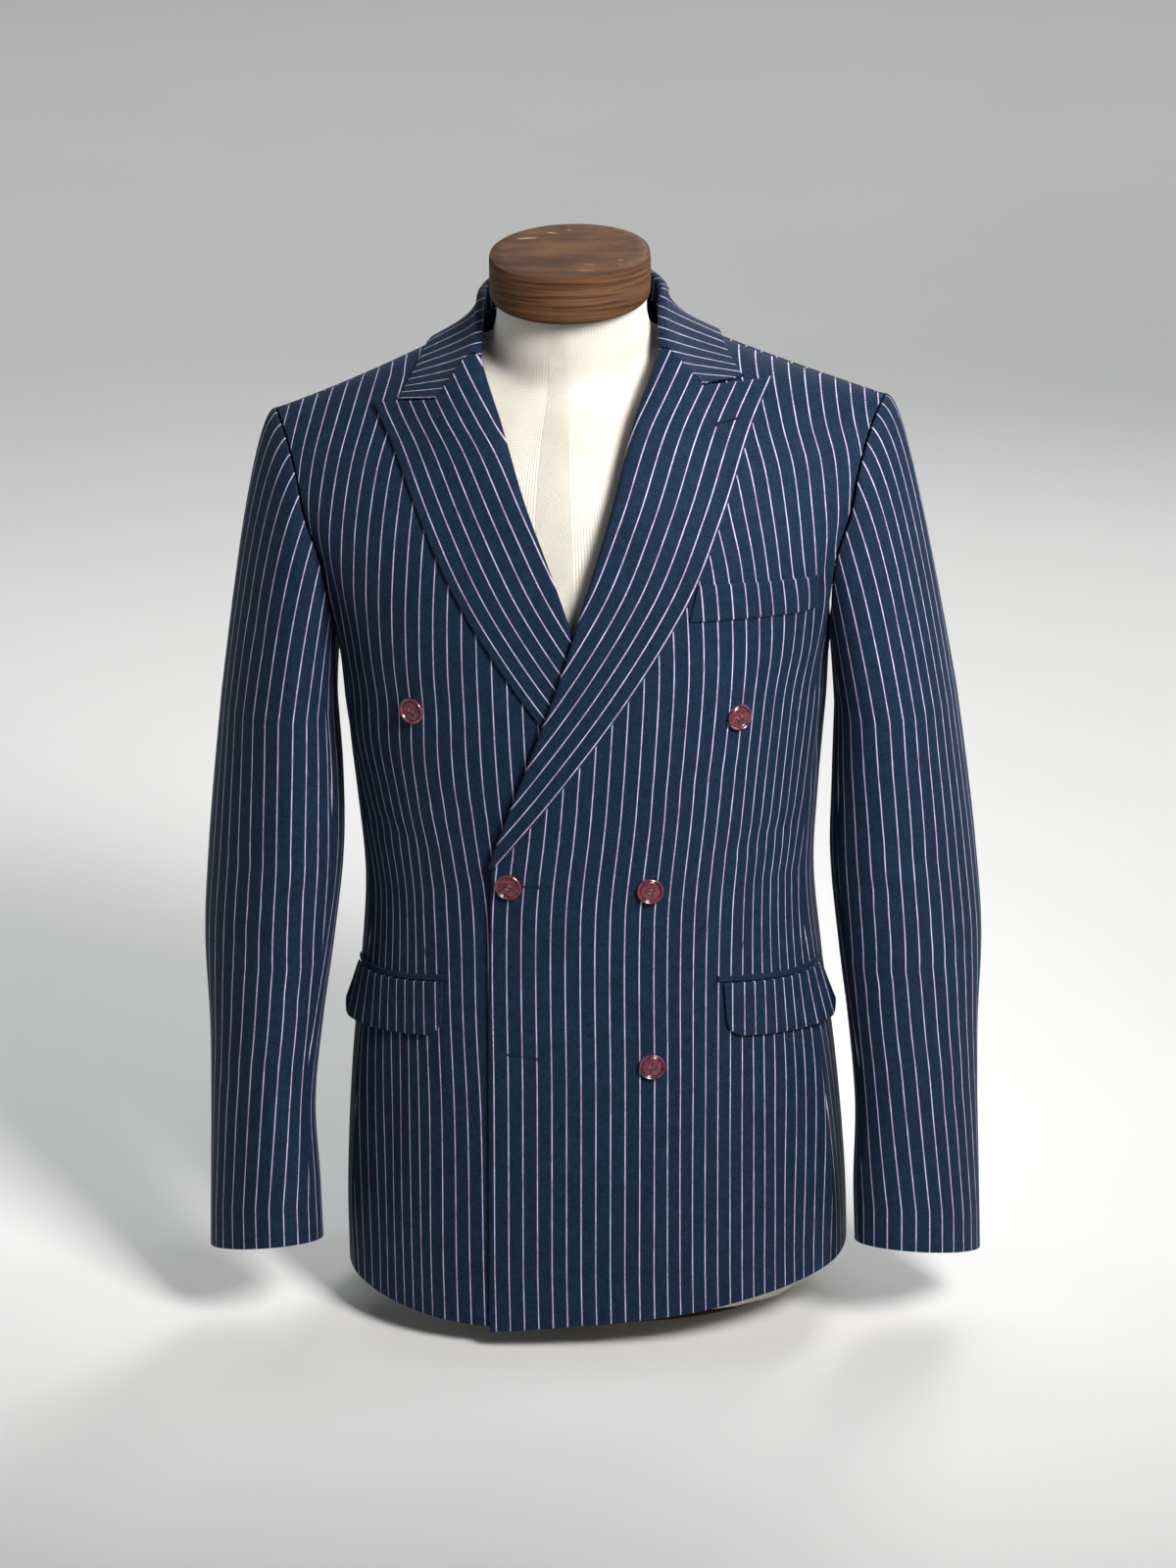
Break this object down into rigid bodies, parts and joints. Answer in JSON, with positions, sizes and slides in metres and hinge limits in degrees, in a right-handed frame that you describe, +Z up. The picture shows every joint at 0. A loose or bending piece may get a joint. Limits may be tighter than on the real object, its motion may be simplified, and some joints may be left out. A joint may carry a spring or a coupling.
{
  "type": "double-breasted suit jacket on a limbless dress form",
  "caption": "Double-breasted suit jacket with peak lapels, collar, welt and flap pockets, fastened at the waist and worn by a limbless dress form with a wooden neck block.",
  "frame": {"origin": "on the ground at the middle of the plinth's underside", "axes": "+Z up, the jacket's front faces -Y, and the wearer's left side is +X"},
  "size_m": [0.6024, 0.2839, 0.8505],
  "materials": {
    "cloth": "matt wool worsted, striped",
    "jersey": "matt fine knit",
    "wood": "satin lacquer, worn",
    "button": "gloss"
  },
  "bodies": {
    "root": {"back_left": "cloth", "back_right": "cloth", "breast_welt": "cloth", "button_fastened": "button", "button_left_bottom": "button", "button_left_middle": "button", "button_left_top": "button", "button_right_top": "button", "collar": "cloth", "front_left": "cloth", "front_right": "cloth", "lapel_left": "cloth", "lapel_right": "cloth", "neck_block": "wood", "plinth": "wood", "pocket_flap_left": "cloth", "pocket_flap_right": "cloth", "pocket_jet_left": "cloth", "pocket_jet_right": "cloth", "side_left": "cloth", "side_right": "cloth", "sleeve_top_left": "cloth", "sleeve_top_right": "cloth", "sleeve_under_left": "cloth", "sleeve_under_right": "cloth", "torso_form": "jersey"}
  },
  "joints": []
}
